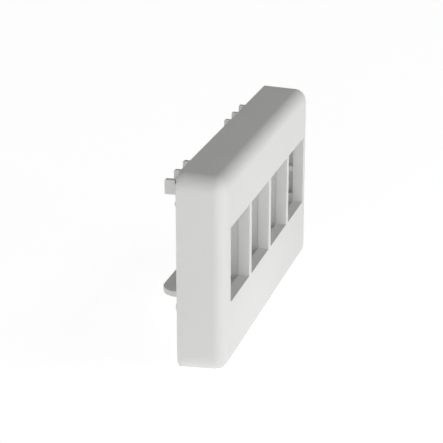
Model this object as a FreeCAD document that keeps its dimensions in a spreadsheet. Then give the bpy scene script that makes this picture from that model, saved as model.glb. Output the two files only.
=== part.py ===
import FreeCAD, Part

import math
import os

import Sketcher

# Keystone faceplate: one plastic moulding that snaps into the cut-out of a furniture panel.
# Millimetres. X runs along the plate, Z is up and the plate faces -Y.
# The origin is the centre of the plane in which the back rim seats on the panel.

# Sizes that can be set by themselves, each with what it measures
SIZES = {
    "port_count": (4, "ports in the row"),
    "port_pitch": (16.55, "from one port to the next"),
    "port_width": (14.8, "opening in the front wall"),
    "port_height": (15.9, "opening in the front wall"),
    "cavity_relief": (0.3, "cavity wider than its opening, each side"),
    "cavity_rise": (4.0, "cavity above the opening, for the jack's sprung catch"),
    "cavity_drop": (1.05, "cavity below the opening, for the jack's fixed foot"),
    "upper_shelf": (1.2, "wall above the row of cavities"),
    "lower_shelf": (1.35, "wall below the row of cavities"),
    "shelf_overhang": (1.15, "shelves past the seating plane"),
    "shelf_chamfer": (0.3, "bevel along the top of the upper shelf's back edge"),
    "end_wall": (1.2, "wall outside the first and last cavity"),
    "window_height": (5.6, "each window in an end wall"),
    "window_depth": (5.2, "windows from the front wall backwards"),
    "window_bar": (1.2, "bar between the two windows"),
    "end_margin": (3.1, "end wall to the outside of the bezel"),
    "top_margin": (6.35, "upper shelf to the top of the bezel"),
    "bottom_margin": (12.15, "lower shelf to the bottom of the bezel"),
    "bezel_depth": (10.0, "seating plane to the front face"),
    "bezel_wall": (2.0, "sides of the shell"),
    "front_wall": (2.5, "front of the shell"),
    "draft_angle": (2.4, "sides lean in towards the front, degrees"),
    "edge_radius": (2.8, "round between the sides and the front face"),
    "hollow_radius": (0.6, "round between the shell's sides and the inside of its front"),
    "corner_excess": (0.35, "corners rounder than those edges, seen from the front"),
    "panel_gap": (2.5, "space for the panel's edge behind the rim"),
    "cutout_height": (34.9, "height of the panel's cut-out"),
    "hook_thickness": (1.0, "each hook, along the plate"),
    "hook_pitch": (6.3, "from one hook to the next in a group"),
    "hook_group": (22.3, "centre of a group of three from the middle of the plate"),
    "hook_root": (0.45, "hooks sink this far into the upper shelf"),
    "hook_neck": (1.85, "neck above the upper shelf, where the cut-out's edge lies"),
    "hook_bite": (0.8, "head above the neck"),
    "hook_head": (2.2, "head, front to back"),
    "hook_round": (0.3, "round on the head's back corner"),
    "latch_width": (24.6, "sprung arm, along the plate"),
    "latch_thickness": (1.3, "sprung arm"),
    "latch_drop": (5.05, "lower shelf down to the arm"),
    "latch_reach": (11.65, "tip of the arm behind the seating plane"),
    "latch_tip_radius": (4.0, "corners of the tip, seen from above"),
    "latch_root_radius": (0.8, "round where the arm leaves the front wall"),
    "catch_width": (18.0, "catch under the arm, along the plate"),
    "catch_bite": (0.8, "catch below the edge of the cut-out"),
    "catch_land": (0.6, "flat on the tip of the catch"),
    "catch_ramp": (4.4, "ramp behind the catch, front to back"),
}

# Sizes that follow from others, written in the sheet's names
ROW_WIDTH = "(sizes.port_count - 1) * sizes.port_pitch + sizes.port_width + 2 * sizes.cavity_relief"
BLOCK_WIDTH = f"({ROW_WIDTH} + 2 * sizes.end_wall)"
CAVITY_HEIGHT = "(sizes.port_height + sizes.cavity_rise + sizes.cavity_drop)"
BLOCK_HEIGHT = f"({CAVITY_HEIGHT} + sizes.upper_shelf + sizes.lower_shelf)"
BEZEL_LENGTH = f"({BLOCK_WIDTH} + 2 * sizes.end_margin)"
BEZEL_HEIGHT = f"({BLOCK_HEIGHT} + sizes.top_margin + sizes.bottom_margin)"
HOLLOW_DEPTH = "(sizes.bezel_depth - sizes.front_wall)"

DRAFT_SLOPE = "tan(sizes.draft_angle * 1deg)"
CORNER_RADIUS = f"(sizes.edge_radius + sizes.corner_excess + sizes.bezel_depth * {DRAFT_SLOPE})"
HOLLOW_CORNER = f"(sizes.hollow_radius + sizes.corner_excess + {HOLLOW_DEPTH} * {DRAFT_SLOPE})"

BLOCK_BOTTOM = f"(sizes.bottom_margin - {BEZEL_HEIGHT} / 2)"
BLOCK_CENTRE = f"({BLOCK_BOTTOM} + {BLOCK_HEIGHT} / 2)"
BLOCK_TOP = f"({BLOCK_BOTTOM} + {BLOCK_HEIGHT})"
CAVITY_BOTTOM = f"({BLOCK_BOTTOM} + sizes.lower_shelf)"
CAVITY_CENTRE = f"({CAVITY_BOTTOM} + {CAVITY_HEIGHT} / 2)"
PORT_CENTRE = f"({CAVITY_BOTTOM} + sizes.cavity_drop + sizes.port_height / 2)"
FIRST_PORT = "(-(sizes.port_count - 1) * sizes.port_pitch / 2)"

HOOK_BOTTOM = f"({BLOCK_TOP} - sizes.hook_root)"
NECK_TOP = f"({BLOCK_TOP} + sizes.hook_neck)"
HOOK_TOP = f"({NECK_TOP} + sizes.hook_bite)"
HOOK_REACH = "(sizes.panel_gap + sizes.hook_head)"

ARM_TOP = f"({BLOCK_BOTTOM} - sizes.latch_drop)"
ARM_BOTTOM = f"({ARM_TOP} - sizes.latch_thickness)"
CATCH_TIP = f"({NECK_TOP} - sizes.cutout_height - sizes.catch_bite)"
CATCH_LAND_END = "(sizes.panel_gap + sizes.catch_land)"
CATCH_END = f"({CATCH_LAND_END} + sizes.catch_ramp)"

# How near two places must be to count as the same
NEAR = 1e-4


def make_sheet(doc):
    """Writes every size into the spreadsheet, with its name as the alias."""
    sheet = doc.addObject("Spreadsheet::Sheet", "sizes")
    for row, (name, (value, meaning)) in enumerate(SIZES.items(), start=1):
        sheet.set(f"A{row}", name)
        sheet.set(f"B{row}", str(value))
        sheet.set(f"C{row}", meaning)
        sheet.setAlias(f"B{row}", name)
    return sheet


def origin_feature(body, role):
    """Finds one of the body's own planes or axes."""
    return next(feature for feature in body.Origin.OriginFeatures if feature.Role == role)


def bind(feature, formulas):
    """Ties properties of a feature to formulas on the sheet."""
    for name, formula in formulas.items():
        feature.setExpression(name, formula)


def new_sketch(body, name, role, place):
    """Puts a sketch on an origin plane, with its own origin moved to a place given by formulas."""
    sketch = body.newObject("Sketcher::SketchObject", name)
    sketch.AttachmentSupport = (origin_feature(body, role), [""])
    sketch.MapMode = "FlatFace"
    bind(sketch, {f"AttachmentOffset.Base.{axis}": formula for axis, formula in place.items()})
    return sketch


def draw_loop(sketch, count):
    """Draws a closed loop of straight lines, still without sizes."""
    turn = 2 * math.pi / count
    corners = [FreeCAD.Vector(math.cos(turn * k), math.sin(turn * k), 0) for k in range(count)]
    for k in range(count):
        sketch.addGeometry(Part.LineSegment(corners[k], corners[(k + 1) % count]))
    for k in range(count):
        sketch.addConstraint(Sketcher.Constraint("Coincident", k, 2, (k + 1) % count, 1))


def draw_rectangle(sketch, width, height):
    """Draws a rectangle centred on the sketch's origin."""
    draw_loop(sketch, 4)
    for line in (0, 2):
        sketch.addConstraint(Sketcher.Constraint("Horizontal", line))
        sketch.addConstraint(Sketcher.Constraint("Vertical", line + 1))
    sketch.addConstraint(Sketcher.Constraint("Symmetric", 0, 1, 2, 1, -1, 1))
    across = sketch.addConstraint(Sketcher.Constraint("DistanceX", 0, 1, 0, 2, 1.0))
    upwards = sketch.addConstraint(Sketcher.Constraint("DistanceY", 1, 1, 1, 2, 1.0))
    bind(sketch, {f"Constraints[{across}]": width, f"Constraints[{upwards}]": height})


def draw_rounded_rectangle(sketch, width, height, radius):
    """Draws a rectangle with round corners, centred on the sketch's origin."""
    quarter = math.pi / 2
    start_radius = 0.5
    for side in range(4):
        turned = FreeCAD.Rotation(FreeCAD.Vector(0, 0, 1), math.degrees(quarter * side))
        start = turned.multVec(FreeCAD.Vector(start_radius - 1, -1, 0))
        end = turned.multVec(FreeCAD.Vector(1 - start_radius, -1, 0))
        sketch.addGeometry(Part.LineSegment(start, end))
    for side in range(4):
        turned = FreeCAD.Rotation(FreeCAD.Vector(0, 0, 1), math.degrees(quarter * side))
        centre = turned.multVec(FreeCAD.Vector(1 - start_radius, start_radius - 1, 0))
        circle = Part.Circle(centre, FreeCAD.Vector(0, 0, 1), start_radius)
        sketch.addGeometry(Part.ArcOfCircle(circle, quarter * (side - 1), quarter * side))
    for side in range(4):
        sketch.addConstraint(Sketcher.Constraint("Tangent", side, 2, side + 4, 1))
        sketch.addConstraint(Sketcher.Constraint("Tangent", side + 4, 2, (side + 1) % 4, 1))
    for side in (0, 2):
        sketch.addConstraint(Sketcher.Constraint("Horizontal", side))
        sketch.addConstraint(Sketcher.Constraint("Vertical", side + 1))
    for corner in (5, 6, 7):
        sketch.addConstraint(Sketcher.Constraint("Equal", 4, corner))
    sketch.addConstraint(Sketcher.Constraint("Symmetric", 4, 3, 6, 3, -1, 1))
    across = sketch.addConstraint(Sketcher.Constraint("DistanceX", 3, 1, 1, 1, 2.0))
    upwards = sketch.addConstraint(Sketcher.Constraint("DistanceY", 0, 1, 2, 1, 2.0))
    rounding = sketch.addConstraint(Sketcher.Constraint("Radius", 4, start_radius))
    bind(sketch, {
        f"Constraints[{across}]": width,
        f"Constraints[{upwards}]": height,
        f"Constraints[{rounding}]": radius,
    })


def draw_polygon(sketch, corners):
    """Draws a polygon whose corners are pairs of formulas, measured from the sketch's origin."""
    draw_loop(sketch, len(corners))
    for line, (across_formula, up_formula) in enumerate(corners):
        across = sketch.addConstraint(Sketcher.Constraint("DistanceX", -1, 1, line, 1, 1.0))
        upwards = sketch.addConstraint(Sketcher.Constraint("DistanceY", -1, 1, line, 1, 1.0))
        bind(sketch, {f"Constraints[{across}]": across_formula, f"Constraints[{upwards}]": up_formula})


def new_feature(body, kind, name, sketch, settings, formulas):
    """Adds a feature on a sketch, such as a pad or a pocket, and works it out."""
    feature = body.newObject(f"PartDesign::{kind}", name)
    feature.Profile = sketch
    for key, value in settings.items():
        setattr(feature, key, value)
    bind(feature, formulas)
    sketch.Visibility = False
    body.Document.recompute()
    return feature


def round_edges(body, name, edges, radius):
    """Rounds the named edges of the body so far."""
    fillet = body.newObject("PartDesign::Fillet", name)
    fillet.Base = (fillet.BaseFeature, edges)
    bind(fillet, {"Radius": radius})
    body.Document.recompute()
    return fillet


def edges_where(shape, test):
    """Names the edges of a shape whose end points all pass a test."""
    return [f"Edge{number}" for number, edge in enumerate(shape.Edges, start=1) if test(edge)]


def lies_at(edge, **place):
    """Tells whether both ends of an edge lie at the given coordinates."""
    return all(
        abs(getattr(vertex.Point, axis) - value) < NEAR
        for vertex in edge.Vertexes
        for axis, value in place.items()
    )


def make_bezel(body, size):
    """Makes the drafted shell with its rounded front, open at the back."""
    outline = new_sketch(body, "bezel_outline", "XZ_Plane", {})
    draw_rounded_rectangle(outline, BEZEL_LENGTH, BEZEL_HEIGHT, CORNER_RADIUS)
    block = new_feature(
        body, "Pad", "bezel_block", outline, {},
        {"Length": "sizes.bezel_depth", "TaperAngle": "-sizes.draft_angle"},
    )
    front = edges_where(block.Shape, lambda edge: lies_at(edge, y=-size("bezel_depth")))
    round_edges(body, "bezel_front_round", front, "sizes.edge_radius")

    inside = new_sketch(body, "hollow_outline", "XZ_Plane", {})
    draw_rounded_rectangle(
        inside,
        f"{BEZEL_LENGTH} - 2 * sizes.bezel_wall",
        f"{BEZEL_HEIGHT} - 2 * sizes.bezel_wall",
        HOLLOW_CORNER,
    )
    hollow = new_feature(
        body, "Pocket", "bezel_hollow", inside, {"Reversed": True},
        {"Length": HOLLOW_DEPTH, "TaperAngle": "-sizes.draft_angle"},
    )
    floor = size("front_wall") - size("bezel_depth")
    inner = edges_where(hollow.Shape, lambda edge: lies_at(edge, y=floor))
    round_edges(body, "hollow_rounds", inner, "sizes.hollow_radius")


def make_port_block(body):
    """Makes the block of port walls and trims its ribs back to the seating plane."""
    outline = new_sketch(body, "port_block_outline", "XZ_Plane", {"y": BLOCK_CENTRE, "z": HOLLOW_DEPTH})
    draw_rectangle(outline, BLOCK_WIDTH, BLOCK_HEIGHT)
    new_feature(
        body, "Pad", "port_block", outline, {"Reversed": True},
        {"Length": f"{HOLLOW_DEPTH} + sizes.shelf_overhang"},
    )
    between = new_sketch(body, "between_shelves", "XZ_Plane", {"y": CAVITY_CENTRE})
    draw_rectangle(between, BLOCK_WIDTH, CAVITY_HEIGHT)
    new_feature(
        body, "Pocket", "rib_setback", between, {}, {"Length": "sizes.shelf_overhang"},
    )


def repeat_along_row(body, name, feature, sketch):
    """Repeats a cut once for each port."""
    row = body.newObject("PartDesign::LinearPattern", name)
    row.Originals = [feature]
    row.Direction = (sketch, ["H_Axis"])
    row.Mode = "Spacing"
    bind(row, {"Offset": "sizes.port_pitch", "Occurrences": "sizes.port_count"})
    body.Tip = row
    body.Document.recompute()
    return row


def cut_ports(body):
    """Cuts the cavity of each port from behind and its opening through the front wall."""
    cavity = new_sketch(
        body, "cavity_outline", "XZ_Plane",
        {"x": FIRST_PORT, "y": CAVITY_CENTRE, "z": HOLLOW_DEPTH},
    )
    draw_rectangle(cavity, "sizes.port_width + 2 * sizes.cavity_relief", CAVITY_HEIGHT)
    first = new_feature(
        body, "Pocket", "first_cavity", cavity, {},
        {"Length": f"{HOLLOW_DEPTH} + sizes.shelf_overhang"},
    )
    repeat_along_row(body, "cavity_row", first, cavity)

    opening = new_sketch(body, "opening_outline", "XZ_Plane", {"x": FIRST_PORT, "y": PORT_CENTRE})
    draw_rectangle(opening, "sizes.port_width", "sizes.port_height")
    first = new_feature(
        body, "Pocket", "first_opening", opening, {"Reversed": True}, {"Length": "sizes.bezel_depth"},
    )
    repeat_along_row(body, "opening_row", first, opening)


def mirror_ends(body, name, features):
    """Repeats features on the other end of the plate."""
    mirror = body.newObject("PartDesign::Mirrored", name)
    mirror.Originals = features
    mirror.MirrorPlane = (origin_feature(body, "YZ_Plane"), [""])
    body.Tip = mirror
    body.Document.recompute()
    return mirror


def cut_end_windows(body):
    """Cuts two windows, one above the other, through the block's wall at each end."""
    windows = []
    for name, side in (("upper", "+"), ("lower", "-")):
        sketch = new_sketch(
            body, f"{name}_window_outline", "YZ_Plane",
            {
                "x": f"sizes.window_depth / 2 - {HOLLOW_DEPTH}",
                "y": f"{PORT_CENTRE} {side} (sizes.window_bar + sizes.window_height) / 2",
                "z": f"{BLOCK_WIDTH} / 2 - sizes.end_wall",
            },
        )
        draw_rectangle(sketch, "sizes.window_depth", "sizes.window_height")
        windows.append(
            new_feature(
                body, "Pocket", f"{name}_window", sketch, {"Reversed": True}, {"Length": "sizes.end_wall"},
            )
        )
    mirror_ends(body, "end_windows", windows)


def make_hooks(body, size):
    """Makes the thin fixed hooks, in two groups of three, that hold the upper edge of the cut-out."""
    hooks = []
    for position in (-1, 0, 1):
        profile = new_sketch(
            body, f"hook_profile_{position + 2}", "YZ_Plane",
            {"z": f"sizes.hook_group + {position} * sizes.hook_pitch"},
        )
        draw_polygon(profile, [
            (f"-{HOLLOW_DEPTH}", HOOK_BOTTOM),
            (HOOK_REACH, HOOK_BOTTOM),
            (HOOK_REACH, HOOK_TOP),
            ("sizes.panel_gap", HOOK_TOP),
            ("sizes.panel_gap", NECK_TOP),
            (f"-{HOLLOW_DEPTH}", NECK_TOP),
        ])
        hooks.append(
            new_feature(
                body, "Pad", f"hook_{position + 2}", profile, {"SideType": "Symmetric"},
                {"Length": "sizes.hook_thickness"},
            )
        )
    mirrored = mirror_ends(body, "hook_groups", hooks)
    reach = size("panel_gap") + size("hook_head")
    back_corners = edges_where(
        mirrored.Shape,
        lambda edge: lies_at(edge, y=reach) and is_highest_along(edge, mirrored.Shape, reach),
    )
    round_edges(body, "hook_rounds", back_corners, "sizes.hook_round")


def is_highest_along(edge, shape, depth):
    """Tells whether an edge lies along X at the greatest height found at a depth."""
    highest = max(
        vertex.Point.z for vertex in shape.Vertexes if abs(vertex.Point.y - depth) < NEAR
    )
    return lies_at(edge, z=highest)


def make_latch(body, size):
    """Makes the sprung arm with its rounded tip and the catch under it."""
    profile = new_sketch(body, "arm_profile", "YZ_Plane", {})
    draw_polygon(profile, [
        (f"-{HOLLOW_DEPTH}", ARM_BOTTOM),
        ("sizes.latch_reach", ARM_BOTTOM),
        ("sizes.latch_reach", ARM_TOP),
        (f"-{HOLLOW_DEPTH}", ARM_TOP),
    ])
    arm = new_feature(
        body, "Pad", "latch_arm", profile, {"SideType": "Symmetric"}, {"Length": "sizes.latch_width"},
    )
    tip = edges_where(
        arm.Shape,
        lambda edge: lies_at(edge, y=size("latch_reach")) and abs(edge.tangentAt(0).z) > 1 - NEAR,
    )
    rounded = round_edges(body, "latch_tip", tip, "sizes.latch_tip_radius")
    floor = size("front_wall") - size("bezel_depth")
    half = size("latch_width") / 2
    root = edges_where(
        rounded.Shape,
        lambda edge: lies_at(edge, y=floor)
        and sorted(round(vertex.Point.x, 3) for vertex in edge.Vertexes) == [-half, half],
    )
    round_edges(body, "latch_root", root, "sizes.latch_root_radius")

    catch = new_sketch(body, "catch_profile", "YZ_Plane", {})
    draw_polygon(catch, [
        ("sizes.panel_gap", ARM_BOTTOM),
        ("sizes.panel_gap", CATCH_TIP),
        (CATCH_LAND_END, CATCH_TIP),
        (CATCH_END, ARM_BOTTOM),
    ])
    new_feature(
        body, "Pad", "latch_catch", catch, {"SideType": "Symmetric"}, {"Length": "sizes.catch_width"},
    )


def bevel_shelf(body, size):
    """Bevels the top of the upper shelf's back edge, which the panel's edge slides over."""
    shape = body.Tip.Shape
    overhang = size("shelf_overhang")
    edges = edges_where(
        shape,
        lambda edge: lies_at(edge, y=overhang) and is_highest_along(edge, shape, overhang),
    )
    chamfer = body.newObject("PartDesign::Chamfer", "shelf_bevel")
    chamfer.Base = (chamfer.BaseFeature, edges)
    bind(chamfer, {"Size": "sizes.shelf_chamfer"})
    body.Document.recompute()


def make_faceplate(doc):
    """Makes the whole moulding as one body."""
    sheet = doc.getObject("sizes")
    body = doc.addObject("PartDesign::Body", "faceplate")
    body.Label = "faceplate"

    def size(name):
        return float(sheet.get(name))

    make_bezel(body, size)
    make_port_block(body)
    cut_ports(body)
    cut_end_windows(body)
    bevel_shelf(body, size)
    make_hooks(body, size)
    make_latch(body, size)
    return body


def check(doc, bodies):
    """Stops the run if any object failed or any solid isn't whole."""
    for item in doc.Objects:
        if {"Invalid", "Error"} & set(item.State):
            raise RuntimeError(f"{item.Name}: {item.State}")
    for body in bodies:
        if body.Shape.isNull() or not body.Shape.isValid() or len(body.Shape.Solids) != 1:
            raise RuntimeError(f"{body.Label} isn't one valid solid")


def main():
    doc = FreeCAD.newDocument("keystone_faceplate")
    make_sheet(doc)
    doc.recompute()
    bodies = [make_faceplate(doc)]
    doc.recompute()
    check(doc, bodies)
    os.makedirs("parts", exist_ok=True)
    for body in bodies:
        body.Shape.exportStep(f"parts/{body.Label}.step")
        box = body.Shape.BoundBox
        print(body.Label, "volume", round(body.Shape.Volume, 1), "box", box)


main()
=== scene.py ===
"""Looks of the keystone faceplate: one pale matte moulding on a pale floor under soft light."""

import logging
import math
from dataclasses import dataclass
from enum import Enum

import bmesh
import bpy
from mathutils import Matrix, Vector


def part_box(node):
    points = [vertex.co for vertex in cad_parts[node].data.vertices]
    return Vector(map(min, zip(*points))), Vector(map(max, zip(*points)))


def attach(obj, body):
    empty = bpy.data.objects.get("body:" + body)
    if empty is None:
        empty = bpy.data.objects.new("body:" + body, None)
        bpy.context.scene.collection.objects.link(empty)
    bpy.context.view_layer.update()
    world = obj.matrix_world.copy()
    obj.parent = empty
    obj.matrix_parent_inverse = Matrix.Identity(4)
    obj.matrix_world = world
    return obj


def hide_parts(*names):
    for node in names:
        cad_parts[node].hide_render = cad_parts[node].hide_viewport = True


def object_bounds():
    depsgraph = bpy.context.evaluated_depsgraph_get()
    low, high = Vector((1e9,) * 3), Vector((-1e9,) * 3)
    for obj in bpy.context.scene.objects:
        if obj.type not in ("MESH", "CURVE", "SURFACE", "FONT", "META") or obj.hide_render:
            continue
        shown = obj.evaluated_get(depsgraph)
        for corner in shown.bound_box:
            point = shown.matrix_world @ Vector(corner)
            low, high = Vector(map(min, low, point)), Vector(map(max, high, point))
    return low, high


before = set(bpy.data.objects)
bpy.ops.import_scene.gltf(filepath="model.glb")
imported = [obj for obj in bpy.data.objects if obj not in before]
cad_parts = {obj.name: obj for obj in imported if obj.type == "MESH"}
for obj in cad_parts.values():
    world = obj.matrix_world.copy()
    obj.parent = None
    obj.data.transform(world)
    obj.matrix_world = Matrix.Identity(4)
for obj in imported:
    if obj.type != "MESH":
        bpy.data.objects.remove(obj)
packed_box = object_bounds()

MM = 0.001
BODY = "root"
NODE = "faceplate"

# Inputs and output of a Mix node that mixes colours
MIX_SHARE = 0
MIX_FIRST = 6
MIX_SECOND = 7
MIX_RESULT = 2

log = logging.getLogger("faceplate")

Colour = tuple[float, float, float]
WHITE: Colour = (1.0, 1.0, 1.0)


class Signal:
    """A number that varies over a surface, with Python's own arithmetic."""

    def __init__(self, graph: "Graph", socket: bpy.types.NodeSocket) -> None:
        """Wraps one number socket of a graph."""
        self.graph = graph
        self.socket = socket

    def _join(self, operation: str, first: "float | Signal", second: "float | Signal") -> "Signal":
        """Adds one Math node.

        Args:
            operation: the Math node's operation.
            first: its first number or signal.
            second: its second number or signal.

        Returns:
            The node's result.
        """
        node = self.graph.node("ShaderNodeMath", {"operation": operation}, {0: first, 1: second})
        return Signal(self.graph, node.outputs[0])

    def __add__(self, other: "float | Signal") -> "Signal":
        """Adds."""
        return self._join("ADD", self, other)

    __radd__ = __add__

    def __sub__(self, other: "float | Signal") -> "Signal":
        """Subtracts another value from this one."""
        return self._join("SUBTRACT", self, other)

    def __rsub__(self, other: "float | Signal") -> "Signal":
        """Subtracts this value from another one."""
        return self._join("SUBTRACT", other, self)

    def __mul__(self, other: "float | Signal") -> "Signal":
        """Multiplies."""
        return self._join("MULTIPLY", self, other)

    __rmul__ = __mul__


class Graph:
    """The node tree of one material or world, empty at first."""

    def __init__(self, owner: bpy.types.Material | bpy.types.World) -> None:
        """Clears the owner's nodes.

        Args:
            owner: the material or world whose nodes are built.
        """
        owner.use_nodes = True
        self.tree = owner.node_tree
        self.tree.nodes.clear()

    def node(
        self,
        kind: str,
        settings: dict[str, object] | None = None,
        sockets: dict[str | int, object] | None = None,
    ) -> bpy.types.Node:
        """Adds a node.

        Args:
            kind: the node's type.
            settings: its own settings, which are set first.
            sockets: a value, socket or signal for each named or numbered input.

        Returns:
            The node.
        """
        made = self.tree.nodes.new(kind)
        for name, value in (settings or {}).items():
            setattr(made, name, value)
        for key, value in (sockets or {}).items():
            source = value.socket if isinstance(value, Signal) else value
            if isinstance(source, bpy.types.NodeSocket):
                self.tree.links.new(source, made.inputs[key])
            else:
                made.inputs[key].default_value = source
        return made

    def place(self) -> bpy.types.NodeSocket:
        """Gives the place on the piece, in metres."""
        return self.node("ShaderNodeTexCoord").outputs["Object"]

    def noise(self, place: bpy.types.NodeSocket, grain_mm: float, layers: float) -> Signal:
        """Adds smooth noise from 0 to 1.

        Args:
            place: the place on the piece.
            grain_mm: the size of one grain.
            layers: how many finer layers are added.

        Returns:
            The noise.
        """
        sockets = {"Vector": place, "Scale": 1 / (grain_mm * MM), "Detail": layers}
        made = self.node("ShaderNodeTexNoise", sockets=sockets)
        return Signal(self, made.outputs[0])

    def stretch(
        self, place: bpy.types.NodeSocket, factors: tuple[float, float, float]
    ) -> bpy.types.NodeSocket:
        """Scales a place along each axis.

        Args:
            place: the place on the piece.
            factors: the scale along X, Y and Z.

        Returns:
            The scaled place.
        """
        made = self.node("ShaderNodeVectorMath", {"operation": "MULTIPLY"}, {0: place, 1: factors})
        return made.outputs[0]

    def blend(self, share: Signal, first: Colour, second: Colour) -> bpy.types.NodeSocket:
        """Mixes two colours.

        Args:
            share: 0 for the first colour, 1 for the second.
            first: a colour.
            second: a colour.

        Returns:
            The mixed colour.
        """
        made = self.node(
            "ShaderNodeMix",
            {"data_type": "RGBA"},
            {MIX_SHARE: share, MIX_FIRST: (*first, 1), MIX_SECOND: (*second, 1)},
        )
        return made.outputs[MIX_RESULT]

    def matte_and_glow(self, colour: Colour, glow: float) -> bpy.types.NodeSocket:
        """Adds a matte surface that also glows white.

        Args:
            colour: the surface's colour.
            glow: the strength of its glow, 1 for white.

        Returns:
            The shader.
        """
        matte = self.node("ShaderNodeBsdfDiffuse", sockets={"Color": (*colour, 1)})
        light = self.node("ShaderNodeEmission", sockets={"Color": (*WHITE, 1), "Strength": glow})
        both = self.node("ShaderNodeAddShader", sockets={0: matte.outputs[0], 1: light.outputs[0]})
        return both.outputs[0]

    def eye_rays(self) -> Signal:
        """Tells the eye's rays from the light's.

        Returns:
            1 on rays from the camera, straight or through gloss and glass, and 0 on others.
        """
        path = self.node("ShaderNodeLightPath")
        seen = Signal(self, path.outputs["Is Camera Ray"])
        seen = seen + Signal(self, path.outputs["Is Glossy Ray"])
        return seen + Signal(self, path.outputs["Is Transmission Ray"])

    def finish(self, shader: bpy.types.NodeSocket, kind: str = "ShaderNodeOutputMaterial") -> None:
        """Ends the tree in its output node."""
        self.node(kind, sockets={"Surface": shader})


class MouldSide(Enum):
    """The half of the mould that shaped a face."""

    SHOW = "show"
    CORE = "core"


@dataclass(frozen=True)
class MouldedPlastic:
    """Pale matte plastic as it leaves one half of the mould."""

    side: MouldSide
    colour: Colour = (0.755, 0.755, 0.739)
    flow_colour: Colour = (0.742, 0.742, 0.726)
    flow_mm: float = 9.0
    flow_share: float = 0.7
    grain_mm: float = 0.25
    grain_height_mm: float = 0.045
    fine_ratio: float = 3.0
    fine_share: float = 0.35
    roughness: float = 0.58
    roughness_spread: float = 0.1
    refraction: float = 1.53
    gloss: float = 0.25
    stroke_stretch: tuple[float, float, float] = (1.0, 1.0, 1.0)

    def material(self) -> bpy.types.Material:
        """Builds the material.

        Returns:
            The material, with colour, roughness and relief that vary over the surface.
        """
        made = bpy.data.materials.new(f"moulded_plastic_{self.side.value}")
        graph = Graph(made)
        place = graph.place()
        strokes = graph.stretch(place, self.stroke_stretch)
        flow = graph.noise(place, self.flow_mm, layers=2.0)
        grain = graph.noise(strokes, self.grain_mm, layers=3.0)
        fine = graph.noise(strokes, self.grain_mm / self.fine_ratio, layers=1.0)
        tone = flow * self.flow_share + grain * (1 - self.flow_share)
        relief = grain * (1 - self.fine_share) + fine * self.fine_share
        bump = graph.node(
            "ShaderNodeBump",
            sockets={"Strength": 1.0, "Distance": self.grain_height_mm * MM, "Height": relief},
        )
        shader = graph.node(
            "ShaderNodeBsdfPrincipled",
            sockets={
                "Base Color": graph.blend(tone, self.colour, self.flow_colour),
                "Roughness": self.roughness + (flow + grain - 1) * self.roughness_spread,
                "IOR": self.refraction,
                "Specular IOR Level": self.gloss,
                "Normal": bump.outputs[0],
            },
        )
        graph.finish(shader.outputs[0])
        return made


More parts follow.
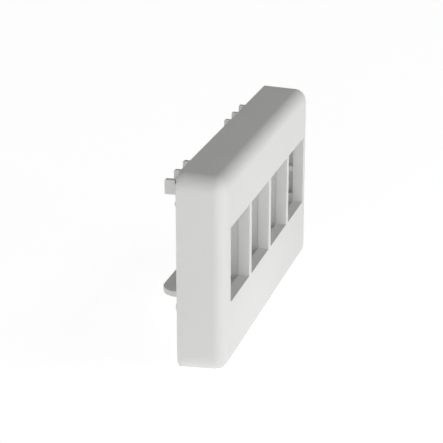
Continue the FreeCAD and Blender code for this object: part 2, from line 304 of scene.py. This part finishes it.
@dataclass
class Moulding:
    """The faceplate itself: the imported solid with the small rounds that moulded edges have."""

    name: str = "faceplate_moulding"
    weld_mm: float = 0.001
    flat_degrees: float = 0.3
    corner_degrees: float = 32.0
    crease_degrees: float = 40.0
    edge_round_mm: float = 0.07
    round_steps: int = 2
    round_profile: float = 0.5
    flat_face_weight: int = 80
    inner_front_mm: float = -7.6
    root_back_mm: float = -6.6
    root_top_mm: float = -12.5
    skin_depth_mm: float = 1.1
    finishes: tuple[MouldedPlastic, ...] = (
        MouldedPlastic(MouldSide.SHOW),
        MouldedPlastic(
            MouldSide.CORE,
            grain_mm=0.35,
            grain_height_mm=0.03,
            roughness=0.5,
            stroke_stretch=(1.0, 0.15, 1.0),
        ),
    )

    def build(self) -> bpy.types.Object:
        """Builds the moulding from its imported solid.

        Returns:
            The finished piece.
        """
        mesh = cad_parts[NODE].data.copy()
        mesh.name = self.name
        work = bmesh.new()
        work.from_mesh(mesh)
        self._join_flat_faces(work)
        self._round_corners(work)
        self._mark_creases(work)
        work.to_mesh(mesh)
        work.free()
        piece = bpy.data.objects.new(self.name, mesh)
        bpy.context.scene.collection.objects.link(piece)
        self._settle_shading(piece)
        self._dress(piece)
        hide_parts(NODE)
        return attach(piece, BODY)

    def _join_flat_faces(self, work: bmesh.types.BMesh) -> None:
        """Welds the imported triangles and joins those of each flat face.

        Args:
            work: the mesh in work.
        """
        bmesh.ops.remove_doubles(work, verts=work.verts, dist=self.weld_mm * MM)
        bmesh.ops.dissolve_limit(
            work,
            angle_limit=math.radians(self.flat_degrees),
            verts=work.verts,
            edges=work.edges,
        )

    def _at_tongue_root(self, edge: bmesh.types.BMEdge) -> bool:
        """Finds the edges of the tongue's root, which has a radius of its own.

        Args:
            edge: an edge of the mesh in work.

        Returns:
            Whether the edge belongs to the root.
        """
        middle = (edge.verts[0].co + edge.verts[1].co) / 2
        behind_front = self.inner_front_mm * MM < middle.y < self.root_back_mm * MM
        return behind_front and middle.z < self.root_top_mm * MM

    def _round_corners(self, work: bmesh.types.BMesh) -> None:
        """Rounds the outer corners, but not those of the tongue's root.

        Args:
            work: the mesh in work.
        """
        sharp = math.radians(self.corner_degrees)
        corners = [
            edge
            for edge in work.edges
            if edge.is_convex and edge.calc_face_angle() > sharp and not self._at_tongue_root(edge)
        ]
        bmesh.ops.bevel(
            work,
            geom=corners,
            offset=self.edge_round_mm * MM,
            offset_type="OFFSET",
            segments=self.round_steps,
            profile=self.round_profile,
            affect="EDGES",
            miter_outer="ARC",
        )

    def _mark_creases(self, work: bmesh.types.BMesh) -> None:
        """Shades the whole mesh smooth but for its inner corners.

        Args:
            work: the mesh in work.
        """
        for face in work.faces:
            face.smooth = True
        for edge in work.edges:
            edge.smooth = edge.calc_face_angle() < math.radians(self.crease_degrees)

    def _settle_shading(self, piece: bpy.types.Object) -> None:
        """Keeps the flat faces flat in the shading, right up to the rounds.

        Args:
            piece: the piece, whose mesh is replaced.
        """
        shading = piece.modifiers.new("flat_faces", "WEIGHTED_NORMAL")
        shading.keep_sharp = True
        shading.weight = self.flat_face_weight
        evaluated = piece.evaluated_get(bpy.context.evaluated_depsgraph_get())
        finished = bpy.data.meshes.new_from_object(evaluated)
        piece.modifiers.clear()
        old = piece.data
        piece.data = finished
        bpy.data.meshes.remove(old)
        finished.name = self.name

    def _dress(self, piece: bpy.types.Object) -> None:
        """Gives each face the finish of the mould half that shaped it.

        Args:
            piece: the piece to dress.
        """
        mesh = piece.data
        mesh.materials.clear()
        places = {}
        for finish in self.finishes:
            places[finish.side] = len(mesh.materials)
            mesh.materials.append(finish.material())
        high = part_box(NODE)[1]
        side = high.x - self.skin_depth_mm * MM
        rim = high.z - self.skin_depth_mm * MM
        front = self.inner_front_mm * MM
        for face in mesh.polygons:
            centre = face.center
            shows = abs(centre.x) > side or abs(centre.z) > rim or centre.y < front
            face.material_index = places[MouldSide.SHOW if shows else MouldSide.CORE]


def direction(azimuth: float, elevation: float) -> Vector:
    """Gives the way from the object to a place around it.

    Args:
        azimuth: degrees round the object, 0 in front of it and 90 at its +X end.
        elevation: degrees up from level.

    Returns:
        The direction, of length 1.
    """
    turn, rise = math.radians(azimuth), math.radians(elevation)
    return Vector(
        (math.sin(turn) * math.cos(rise), -math.cos(turn) * math.cos(rise), math.sin(rise))
    )


def area_lamp(name: str, width: float, height: float, power: float) -> bpy.types.Object:
    """Builds a flat lamp that shines straight down until it is turned.

    Args:
        name: the lamp's name.
        width: its width in metres.
        height: its height in metres.
        power: its power in watts.

    Returns:
        The lamp.
    """
    light = bpy.data.lights.new(name, "AREA")
    light.shape = "RECTANGLE"
    light.size = width
    light.size_y = height
    light.energy = power
    lamp = bpy.data.objects.new(name, light)
    bpy.context.scene.collection.objects.link(lamp)
    return lamp


@dataclass(frozen=True)
class Softbox:
    """A studio lamp with a flat diffuser, aimed at the object, in degrees, metres and watts."""

    name: str
    azimuth: float
    elevation: float
    width: float
    power: float
    height: float = 0.16
    distance: float = 0.9

    def build(self, target: Vector) -> None:
        """Builds the lamp.

        Args:
            target: the point that it faces, in metres.
        """
        lamp = area_lamp(self.name, self.width, self.height, self.power)
        away = direction(self.azimuth, self.elevation)
        lamp.location = target + away * self.distance
        lamp.rotation_euler = away.to_track_quat("Z", "Y").to_euler()


@dataclass(frozen=True)
class BounceCard:
    """A card on the floor before the object, which throws a little light up at its front.

    Its power is in watts, and it lies nearer to the -X end, where the front is brightest.
    """

    name: str = "bounce_card"
    along_mm: float = -14.5
    ahead_mm: float = 34.0
    lift_mm: float = 0.5
    width_mm: float = 45.0
    depth_mm: float = 60.0
    power: float = 0.0018

    def build(self, low: Vector) -> None:
        """Builds the card, which the camera doesn't see.

        Args:
            low: the object's lowest corner, which is at its front.
        """
        card = area_lamp(self.name, self.width_mm * MM, self.depth_mm * MM, self.power)
        ahead = low.y - self.ahead_mm * MM
        card.location = (self.along_mm * MM, ahead, low.z + self.lift_mm * MM)
        card.rotation_euler.x = math.pi
        card.visible_camera = False


@dataclass
class Studio:
    """The floor, the even light of the room, the lamps and the bounce card."""

    floor_reach: float = 0.8
    floor_sides: int = 96
    floor_colour: Colour = (0.86, 0.86, 0.86)
    floor_glow: float = 0.9
    floor_bounce: float = 0.45
    shadow_share: float = 0.35
    room_light: float = 0.07
    lamps: tuple[Softbox, ...] = (
        Softbox("front_softbox", azimuth=0, elevation=20, width=0.8, power=3.45),
        Softbox("near_corner_softbox", azimuth=-50, elevation=5, width=0.6, power=1.0),
        Softbox("end_softbox", azimuth=-88, elevation=14, width=0.5, power=2.3),
        Softbox("far_corner_softbox", azimuth=40, elevation=5, width=0.5, power=0.5),
        Softbox("back_softbox", azimuth=176, elevation=5, width=0.8, power=1.4),
        Softbox("back_corner_softbox", azimuth=138, elevation=4, width=0.8, power=1.6),
    )
    card: BounceCard = BounceCard()

    def build(self, low: Vector, high: Vector) -> None:
        """Builds the studio around the object.

        Args:
            low: the object's lowest corner.
            high: the object's highest corner.
        """
        self._floor(low.z)
        self._room()
        middle = (low + high) / 2
        for lamp in self.lamps:
            lamp.build(middle)
        self.card.build(low)

    def _floor(self, height: float) -> None:
        """Builds the floor just under the object.

        Args:
            height: the object's lowest point.
        """
        mesh = bpy.data.meshes.new("floor")
        work = bmesh.new()
        bmesh.ops.create_circle(
            work, cap_ends=True, segments=self.floor_sides, radius=self.floor_reach
        )
        work.to_mesh(mesh)
        work.free()
        floor = bpy.data.objects.new("floor", mesh)
        floor.location.z = height
        bpy.context.scene.collection.objects.link(floor)
        mesh.materials.append(self._floor_material())

    def _floor_material(self) -> bpy.types.Material:
        """Builds a pale floor that lights the object from below and shows as white.

        The eye sees the object's soft shadow on it.

        Returns:
            The floor's material.
        """
        made = bpy.data.materials.new("pale_floor")
        graph = Graph(made)
        shadow_colour = tuple(channel * self.shadow_share for channel in self.floor_colour)
        lit = graph.matte_and_glow(self.floor_colour, self.floor_bounce)
        seen = graph.matte_and_glow(shadow_colour, self.floor_glow)
        mixed = graph.node("ShaderNodeMixShader", sockets={0: graph.eye_rays(), 1: lit, 2: seen})
        graph.finish(mixed.outputs[0])
        return made

    def _room(self) -> None:
        """Builds the room's even light, which the camera sees as white."""
        world = bpy.data.worlds.new("room")
        bpy.context.scene.world = world
        graph = Graph(world)
        strength = graph.eye_rays() * (1 - self.room_light) + self.room_light
        sockets = {"Color": (*WHITE, 1), "Strength": strength}
        light = graph.node("ShaderNodeBackground", sockets=sockets)
        graph.finish(light.outputs[0], "ShaderNodeOutputWorld")


@dataclass(frozen=True)
class PhotoCamera:
    """The camera at the photo's place, as fitted to the outline and the openings."""

    azimuth: float = -74.354
    elevation: float = 19.702
    distance_mm: float = 348.65
    focal_mm: float = 129.92
    sensor_mm: float = 36.0
    near_clip_mm: float = 10.0
    aim_mm: tuple[float, float, float] = (0.0, -9.94, 0.0)
    aim_right_mm: float = 10.498
    aim_up_mm: float = 0.278

    def build(self) -> None:
        """Builds the camera and makes it the scene's own."""
        data = bpy.data.cameras.new("photo_camera")
        data.lens = self.focal_mm
        data.sensor_width = self.sensor_mm
        data.sensor_fit = "HORIZONTAL"
        data.clip_start = self.near_clip_mm * MM
        back = direction(self.azimuth, self.elevation)
        right = Vector((0, 0, 1)).cross(back).normalized()
        up = back.cross(right)
        place = Vector(self.aim_mm) + back * self.distance_mm
        place -= right * self.aim_right_mm + up * self.aim_up_mm
        camera = bpy.data.objects.new("photo_camera", data)
        turned = Matrix((right, up, back)).transposed().to_4x4()
        camera.matrix_world = Matrix.Translation(place * MM) @ turned
        bpy.context.scene.collection.objects.link(camera)
        bpy.context.scene.camera = camera


def main() -> None:
    """Builds the faceplate, the studio and the camera, in that order."""
    logging.basicConfig(level=logging.INFO, format="%(message)s")
    bpy.context.scene.view_settings.view_transform = "Standard"

    piece = Moulding().build()
    log.info("%s: %d faces", piece.name, len(piece.data.polygons))

    studio = Studio()
    studio.build(*packed_box)
    log.info("studio: floor, room light, bounce card and %d lamps", len(studio.lamps))

    PhotoCamera().build()
    log.info("camera in place")


if __name__ == "__main__":
    main()
